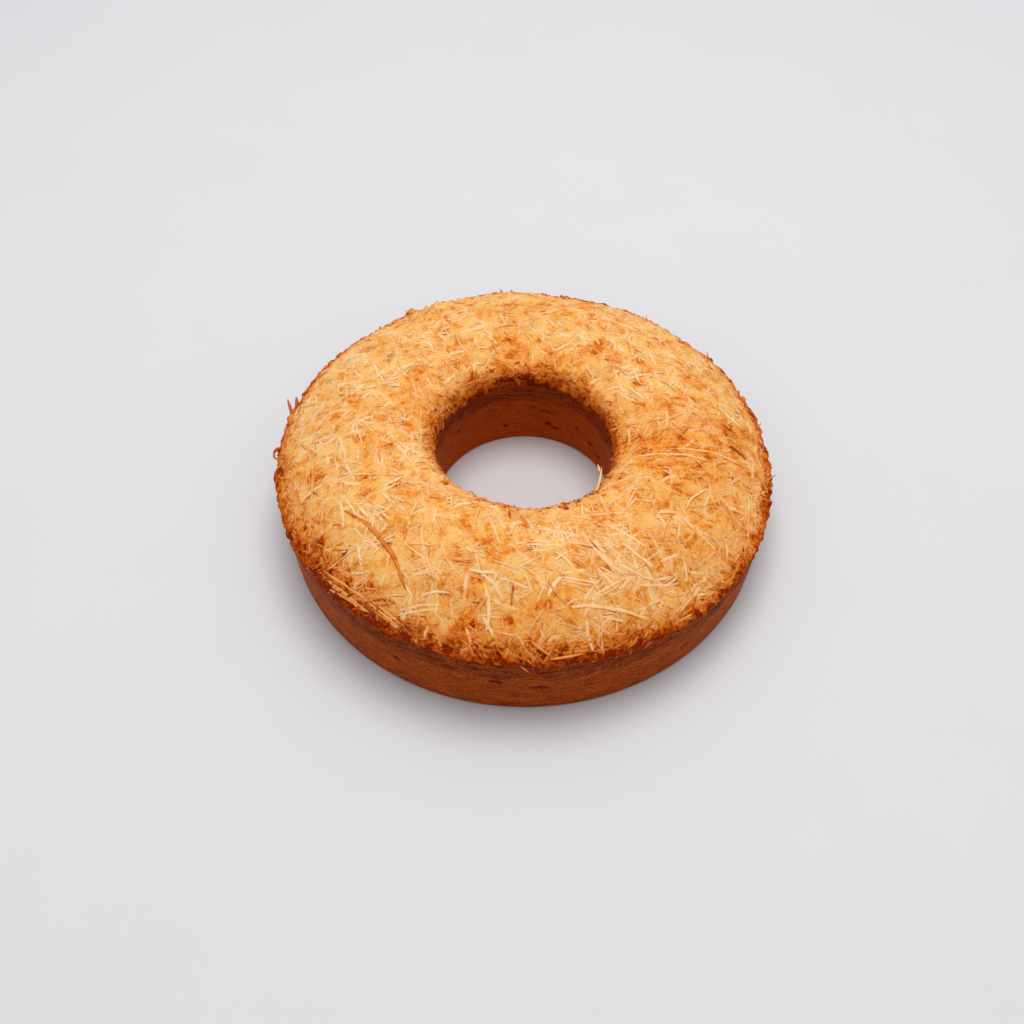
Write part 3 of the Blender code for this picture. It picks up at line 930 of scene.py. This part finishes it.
def lay_shreds(name, shreds, segments, sides, wander, material):
    """One piece of many flat shreds that follow the top and wander a little."""
    share = np.linspace(0.0, 1.0, segments + 1)[None, :]
    rows = shreds[:, None]
    east, north = along_arc(rows["east"], rows["north"], rows["heading"], rows["length"],
                            rows["turn"], share)
    bed = top(east, north)
    up = top_normal(east, north)
    end = np.where(rows["rise"] > 0.0, share, 1.0 - share) ** 2.5
    above = broad_relief(bed) + rows["lie"] + np.abs(rows["rise"]) * end
    above += SINKING * lumps(bed, 5.0 * MM, 51)
    above -= TIP_SINKING * np.abs(2.0 * share - 1.0) ** TIP_POWER
    middle = bed + above[..., None] * up
    # Each shred wanders and widens by its own line through the lumps
    line = np.repeat(np.arange(len(shreds))[:, None], segments + 1, 1)
    along = rows["length"] * share / KINK_SPACING
    way = np.stack((line * 7.31, along, line * 0.0), axis=-1)
    aside = unit(np.cross(up, np.gradient(middle, axis=1)))
    middle += (wander * lumps(way, 1.0, 52))[..., None] * aside
    uneven = 1.0 + UNEVEN_WIDTH * lumps(way * (1.0, 1.6, 1.0), 1.0, 53)
    roll = rows["roll"] * (1.0 + 1.2 * (share - 0.5))
    make_ribbons(name, middle, up, roll, rows["width"] * uneven, rows["thickness"],
                 rows["brown"], sides, material)


def make_ribbons(name, middle, up, roll, width, thickness, brown, sides, material):
    """One piece of flat ribbons along middle lines, more toasted at the ends, with painted shade
    below.
    """
    count, stations = middle.shape[:2]
    ends = np.abs(np.linspace(-1.0, 1.0, stations))[None, :]
    ahead = unit(np.gradient(middle, axis=1))
    aside = unit(np.cross(up, ahead))
    up = np.cross(ahead, aside)
    roll = roll[..., None]
    aside, up = aside * np.cos(roll) + up * np.sin(roll), up * np.cos(roll) - aside * np.sin(roll)
    taper = 1.0 - (1.0 - TIP_SHARE) * ends ** TIP_POWER
    half_width = (0.5 * width * taper)[..., None, None]
    slimmer = TIP_THICKNESS + (1.0 - TIP_THICKNESS) * taper
    half_thickness = (0.5 * thickness * slimmer)[..., None, None]
    turn = evenly(sides, 0.0, math.tau) + math.pi / sides
    wide, deep = (
        (np.sign(way) * np.abs(way) ** BOXY)[:, None] for way in (np.cos(turn), np.sin(turn))
    )
    wide = wide * (1.0 - EDGE_SPREAD * deep)
    corners = (middle[:, :, None] + aside[:, :, None] * half_width * wide
               + up[:, :, None] * half_thickness * deep)
    index = np.arange(count * stations * sides).reshape(count, stations, sides)
    near, far = index[:, :-1], index[:, 1:]
    walls = np.stack((near, np.roll(near, -1, 2), np.roll(far, -1, 2), far), axis=-1)
    faces = walls.reshape(-1, 4).tolist()
    faces += index[:, 0, ::-1].tolist() + index[:, -1].tolist()
    brown = np.minimum(brown + TIP_TOASTING * ends ** TIP_POWER, DARKEST)[..., None]
    # Painted shade: the lower corners of each ribbon are browner, less so towards the back.
    underside_share = 1.0 - REAR_SHADE_EASING * rearward(middle[..., 1:2])
    brown = brown + UNDERSIDE_SHADE * underside_share * (1.0 - brown) * (deep[:, 0] < 0.0)
    make_piece(name, corners, faces, material, brown=brown)


def shred_rows(**numbers):
    """Rows of shreds from their numbers, with the rest at nought."""
    parts = np.broadcast_arrays(*numbers.values())
    rows = np.zeros(parts[0].size, SHRED)
    for name, part in zip(numbers, parts):
        rows[name] = part
    return rows


def stays_on_top(*arc):
    """Whether an arc keeps between the hole's rim and the crown."""
    radius = np.hypot(*along_arc(*arc, np.linspace(0.0, 1.0, 5)))
    return SCATTER_INNER_RADIUS < radius.min() and radius.max() < SCATTER_OUTER_RADIUS


def scattered_strips():
    """Arcs spread evenly over the top.  One that would leave it lies along its edge."""
    draw = random.Random(SEED)
    inner = SCATTER_INNER_RADIUS ** 2
    outer = SCATTER_OUTER_RADIUS ** 2
    for index in range(SCATTERED_STRIPS):
        radius = math.sqrt(inner + (outer - inner) * (index + 0.5) / SCATTERED_STRIPS)
        azimuth = index * GOLDEN_ANGLE
        any_course = draw.uniform(0.0, math.tau)
        length = draw.triangular(SHORTEST_STRIP, LONGEST_STRIP, SHORTEST_STRIP)
        turn = draw.gauss(0.0, STRIP_BEND)
        width = draw.uniform(NARROWEST_STRIP, WIDEST_STRIP)
        for course in (any_course, azimuth + 0.5 * math.pi):
            x = radius * math.cos(azimuth) - 0.5 * length * math.cos(course)
            y = radius * math.sin(azimuth) - 0.5 * length * math.sin(course)
            heading = course - 0.5 * turn
            if stays_on_top(x, y, heading, length, turn):
                yield x, y, heading, length, turn, width
                break


def spread(draw, count, inner, outer):
    """Plan places spread evenly over a ring, each a little off its station."""
    share = (np.arange(count) + draw.random(count)) / count
    radius = np.sqrt(inner ** 2 + (outer ** 2 - inner ** 2) * share)
    azimuth = np.arange(count) * GOLDEN_ANGLE + draw.normal(0.0, 0.05, count)
    return radius * np.cos(azimuth), radius * np.sin(azimuth)


def flow(draw, x, y):
    """Headings of loose shreds: any way on the open top, along the crown, into the hole."""
    radius = np.hypot(x, y)
    azimuth = np.arctan2(y, x)
    heading = draw.uniform(0.0, math.tau, x.size)
    along = azimuth + 0.5 * math.pi + draw.normal(0.0, 0.6, x.size)
    inward = azimuth + draw.normal(0.0, 0.9, x.size)
    chance = draw.random(x.size)
    heading = np.where(chance < eased(radius, 84.0 * MM, 97.0 * MM) * 0.75, along, heading)
    for *patch, course in COMBED_PATCHES:
        combed = math.radians(course) + draw.normal(0.0, COMBED_SPREAD, x.size)
        within = np.exp(-away_from(x, y, *patch) ** 4)
        heading = np.where(chance < 0.8 * within, combed, heading)
    heading = np.where(radius < 38.0 * MM, along, heading)
    at_rim = 0.30 * (1.0 - eased(radius, 44.0 * MM, 54.0 * MM))
    return np.where(chance < at_rim, inward, heading)


def loose_shreds(kind):
    """Rows of one kind of shreds scattered over the top, each centred on its place.

    One on a slope covers less of the plan, and one that would stick out past an
    edge by more than its share is left out.
    """
    seed, count, ring, length, width, thickness, paler, clumped, curl = LOOSE_SHREDS[kind]
    draw = np.random.default_rng(seed)
    x, y = spread(draw, count, ring[0] * MM, ring[1] * MM)
    fell = draw.random(count) < 1.0 - clumped * (1.0 - cover(x, y))
    heading = flow(draw, x, y)
    behind = rearness(np.arctan2(y, x))
    turn = draw.normal(0.0, curl, count) * (0.6 + 1.5 * behind)
    course = heading + 0.5 * turn
    downhill = np.abs(np.cos(course - np.arctan2(y, x)))
    flatness = top_normal(x, y)[:, 2]
    long = draw.triangular(*length, count) * MM * (1.0 - downhill * (1.0 - flatness))
    long *= 1.0 - 0.35 * behind
    thick = draw.uniform(*thickness, count) * MM
    lifted = draw.random(count) < LIVELY_SHARE
    shade = draw.normal(0.0, 0.06, count)
    shade += 0.14 * (draw.random(count) < BROWN_SHARE)
    shade = np.maximum(shade, -0.12)
    east = x - 0.5 * long * np.cos(course)
    north = y - 0.5 * long * np.sin(course)
    rows = shred_rows(
        east=east,
        north=north,
        heading=heading,
        length=long,
        turn=turn,
        width=draw.triangular(*width, count) * MM,
        thickness=thick,
        lie=draw.uniform(-0.55, 0.2, count) * thick,
        rise=lifted * draw.normal(0.0, 0.4, count) * MM,
        roll=draw.normal(0.0, 0.2, count),
        brown=1.2 * browning(x, y) - paler + shade,
    )
    away = np.stack((np.hypot(east, north), np.hypot(x, y),
                     np.hypot(2.0 * x - east, 2.0 * y - north)))
    rim_overhang = FRONT_RIM_OVERHANG + (REAR_RIM_OVERHANG - FRONT_RIM_OVERHANG) * behind
    inside = away.min(0) > HOLE_RIM_RADIUS - rim_overhang
    inside &= away.max(0) < CROWN_RADIUS + CROWN_OVERHANG
    return rows[inside & fell]


def in_strands(rows, draw):
    """The same strips, with each wide one as two thin strands side by side."""
    wide = rows["width"] > PLACED_DRYING * TWO_STRANDS_WIDTH - 0.01 * MM
    narrow = rows[~wide]
    strands = []
    for side in (-1.0, 1.0):
        strand = rows[wide].copy()
        off = 0.30 * side * strand["width"]
        strand["east"] -= off * np.sin(strand["heading"])
        strand["north"] += off * np.cos(strand["heading"])
        strand["heading"] += draw.normal(0.0, 0.03, strand.size)
        strand["length"] *= draw.uniform(0.8, 1.0, strand.size)
        strand["width"] *= draw.uniform(0.40, 0.55, strand.size)
        strand["brown"] += draw.normal(0.03, 0.05, strand.size)
        strands.append(strand)
    return np.concatenate((narrow, *strands))


def counted_strips():
    """Rows of the placed strips and of the scattered ones."""
    draw = np.random.default_rng(31)
    east, north, heading, length, turn, width, brown = np.array(PLACED_STRIPS, float).T
    proud = (width > WIDE_STRIP) | (length > LONG_STRIP)
    lie = PLACED_LIE + CURLED_LIE * np.maximum(brown - TAN, 0.0) + PROUD_LIE * proud
    placed = shred_rows(
        east=east * MM, north=north * MM, heading=np.radians(heading),
        length=length * MM, turn=np.radians(turn), width=width * PLACED_DRYING * MM,
        thickness=PLACED_THICKNESS, lie=lie * MM,
        roll=draw.normal(0.0, 0.10, east.size), brown=np.maximum(brown, PALEST_PLACED),
    )
    placed = in_strands(placed, draw)
    east, north, heading, length, turn, width = np.array(list(scattered_strips())).T
    scattered = shred_rows(
        east=east, north=north, heading=heading, length=length, turn=turn,
        width=SCATTERED_DRYING * width, thickness=SCATTERED_THICKNESS,
        roll=draw.normal(0.0, 0.10, east.size),
        brown=browning(east, north) - 0.05 + draw.normal(0.0, 0.06, east.size),
    )
    return np.concatenate((placed, scattered))


def stand_strips(material):
    """The strips that stand up or out, each on a bow from its foot to its tip."""
    table = np.array(STANDING_STRIPS, float) * MM
    share = np.linspace(0.0, 1.0, STANDING_STATIONS)[None, :, None]
    foot, bow, tip = (table[:, None, i:i + 3] for i in (0, 3, 6))
    middle = (1.0 - share) ** 2 * foot + 2.0 * share * (1.0 - share) * bow + share ** 2 * tip
    width, brown = table[:, 9, None], table[:, 10, None] / MM
    width = width * (FOOT_WIDTH - NARROWING * share[..., 0])
    up = np.broadcast_to((0.0, 0.3, 1.0), middle.shape)
    make_ribbons("standing_strips", middle, up, np.zeros_like(width), width, 0.6 * width,
                 brown, 6, material)


def crumb_places():
    """X, Y, size, browning and height over the crust of every crumb."""
    draw = np.random.default_rng(61)
    groups = []
    for count, inner, outer, smallest, largest, palest, darkest, paler_behind in CRUMB_RINGS:
        radius = draw.uniform(inner, outer, count)
        azimuth = draw.uniform(0.0, math.tau, count)
        x, y = radius * np.cos(azimuth), radius * np.sin(azimuth)
        size = draw.triangular(smallest, smallest, largest, count) * MM
        brown = draw.uniform(palest, darkest, count) - paler_behind * rearness(azimuth)
        groups.append((x, y, size, brown, np.zeros(count)))
    for east, north, spread_out, count, largest, brown, height in CRUMB_HEAPS:
        x, y = draw.normal((east, north), 0.5 * spread_out, (count, 2)).T * MM
        size = draw.uniform(0.4, 1.0, count) * largest * MM
        inside = np.clip(1.0 - away_from(x, y, east, north, spread_out), 0.0, 1.0)
        heaped = draw.random(count) * height * MM * inside
        groups.append((x, y, size, brown + draw.normal(0.0, 0.08, count), heaped))
    x, y, size, brown, heaped = (np.concatenate(part) for part in zip(*groups))
    radius = np.hypot(x, y)
    kept = np.clip(radius, HOLE_RIM_RADIUS, CROWN_RADIUS) / radius
    return x * kept, y * kept, size, brown, heaped


def scatter_crumbs():
    """One piece of all the small flaky crumbs of crust."""
    bm = bmesh.new()
    bmesh.ops.create_icosphere(bm, subdivisions=2, radius=1.0)
    ball = np.array([corner.co[:] for corner in bm.verts])
    triangles = np.array([[corner.index for corner in face.verts] for face in bm.faces])
    bm.free()
    x, y, size, brown, heaped = crumb_places()
    draw = np.random.default_rng(62)
    count = len(x)
    kinds = np.repeat(np.arange(count)[:, None] * 5.3, len(ball), 1)[..., None]
    rough = 1.0 + 0.65 * lumps(ball[None] * 1.1 + kinds, 1.0, 63)
    slim = np.stack((draw.uniform(1.0, 1.7, count), draw.uniform(0.35, 0.9, count),
                     draw.uniform(0.25, 0.6, count)), axis=-1)
    shape = slim[:, None] * ball[None] * rough[..., None]
    shape[..., 2] += 0.5 * draw.normal(0.0, 0.5, count)[:, None] * shape[..., 0]
    turn = draw.uniform(0.0, math.tau, count)[:, None]
    shape[..., 0], shape[..., 1] = (
        shape[..., 0] * np.cos(turn) - shape[..., 1] * np.sin(turn),
        shape[..., 0] * np.sin(turn) + shape[..., 1] * np.cos(turn),
    )
    bed = top(x, y)
    up = top_normal(x, y)
    middle = bed + (broad_relief(bed) + 0.1 * size + heaped)[:, None] * up
    corners = middle[:, None] + 0.5 * size[:, None, None] * shape
    faces = triangles[None] + (np.arange(count) * len(ball))[:, None, None]
    # Each crumb's browning varies at random, and painted shade darkens it towards its underside.
    uneven = 0.12 * lumps(ball[None] * 1.4 + kinds, 1.0, 64) - 0.05 * ball[None, :, 2]
    make_piece("crust_crumbs", corners, faces.reshape(-1, 3).tolist(), toasted_crumb(),
               brown=brown[:, None] + uneven)


def sprinkle_cheese():
    """Every kind of shred, from the widest strips to the finest threads."""
    cheese = toasted_cheese()
    lay_shreds("cheese_strips", counted_strips(), 14, 8, 0.3 * MM, cheese)
    stand_strips(cheese)
    lay_shreds("cheese_shreds", loose_shreds("middling"), 8, 6, 0.5 * MM, cheese)
    lay_shreds("cheese_threads", loose_shreds("fine"), 6, 4, 0.8 * MM, cheese)

    curls = loose_shreds("curled")
    limit = np.random.default_rng(46).normal(CURLS_FROM, CURLS_SPREAD, curls.size)
    lay_shreds("cheese_curls", curls[limit < curls["north"]], 6, 4, 0.6 * MM, cheese)

    crown = loose_shreds("crown")
    shade = np.random.default_rng(47).normal(0.0, CROWN_BROWN_SPREAD, crown.size)
    crown["brown"] = CROWN_BROWN + CROWN_BROWN_SHARE * crown["brown"] + shade
    lay_shreds("crown_shreds", crown, 6, 6, 0.4 * MM, cheese)

    rim = np.concatenate((loose_shreds("rim"), loose_shreds("rim strands")))
    draw = np.random.default_rng(48)
    rim["brown"] += draw.normal(RIM_BROWNING, RIM_BROWN_SPREAD, rim.size)
    risers = draw.random(rim.size) < RIM_RISERS
    rim["rise"] = risers * draw.normal(0.0, RIM_RISE, rim.size)
    lay_shreds("rim_shreds", rim, 6, 6, 0.4 * MM, cheese)


# ---------------- the setting

FOCAL_PIXELS = 1250.0
PICTURE_PIXELS = 1024.0
SENSOR_WIDTH = 36.0
CAMERA_ELEVATION = math.radians(52.30)
CAMERA_DISTANCE = 0.5292
ORIGIN_COLUMN = 524.37
ORIGIN_ROW = 503.46

SKY_TINT = (0.93, 0.95, 1.0, 1.0)
SKY_STRENGTH = 0.56
WINDOW_PLACE = (0.04, 0.17, 1.26)
WINDOW_SIZE = 0.85
WINDOW_POWER = 11.1
WINDOW_TINT = (1.0, 0.98, 0.95)
FLOOR_TONES = ((0.68, 0.68, 0.695), (0.70, 0.70, 0.715))
FLOOR_HALF = 6.0


def place_camera():
    """The camera that the cake's own outlines give."""
    lens = bpy.data.cameras.new("camera")
    lens.sensor_width = SENSOR_WIDTH
    lens.lens = FOCAL_PIXELS / PICTURE_PIXELS * SENSOR_WIDTH
    lens.clip_start = 0.01
    camera = put_in_scene("camera", lens)
    rows_off = ORIGIN_ROW - 0.5 * PICTURE_PIXELS
    columns_off = ORIGIN_COLUMN - 0.5 * PICTURE_PIXELS
    tilt = 0.5 * math.pi - CAMERA_ELEVATION + math.atan2(rows_off, FOCAL_PIXELS)
    turn = math.atan2(columns_off, math.hypot(FOCAL_PIXELS, rows_off))
    eye = Vector((0.0, -math.cos(CAMERA_ELEVATION), math.sin(CAMERA_ELEVATION)))
    camera.matrix_world = (Matrix.Translation(CAMERA_DISTANCE * eye)
                           @ Matrix.Rotation(tilt, 4, "X") @ Matrix.Rotation(turn, 4, "Y"))
    bpy.context.scene.camera = camera


def lay_floor():
    """A plain pale floor under the cake."""
    finish = Finish("pale_floor")
    finish.dress(
        Base_Color=finish.mix(finish.mottle(40.0 * MM, 2.0), *FLOOR_TONES),
        Roughness=0.8,
        Specular_IOR_Level=0.1,
    )
    mesh = bpy.data.meshes.new("floor")
    corners = [(-1, -1), (1, -1), (1, 1), (-1, 1)]
    mesh.from_pydata([(FLOOR_HALF * x, FLOOR_HALF * y, 0.0) for x, y in corners],
                     [], [(0, 1, 2, 3)])
    mesh.materials.append(finish.material)
    put_in_scene("floor", mesh)


def light_scene():
    """Soft daylight from above and a little behind."""
    scene = bpy.context.scene
    scene.view_settings.view_transform = "Standard"
    scene.world = bpy.data.worlds.new("studio")
    scene.world.use_nodes = True
    sky = scene.world.node_tree.nodes["Background"].inputs
    sky["Color"].default_value = SKY_TINT
    sky["Strength"].default_value = SKY_STRENGTH
    light = bpy.data.lights.new("window", "AREA")
    light.shape = "DISK"
    light.size = WINDOW_SIZE
    light.energy = WINDOW_POWER
    light.color = WINDOW_TINT
    window = put_in_scene("window", light)
    window.location = WINDOW_PLACE
    window.rotation_euler = (-Vector(WINDOW_PLACE)).to_track_quat("-Z", "Y").to_euler()


place_camera()
bake_crust()
scatter_crumbs()
sprinkle_cheese()
light_scene()
lay_floor()
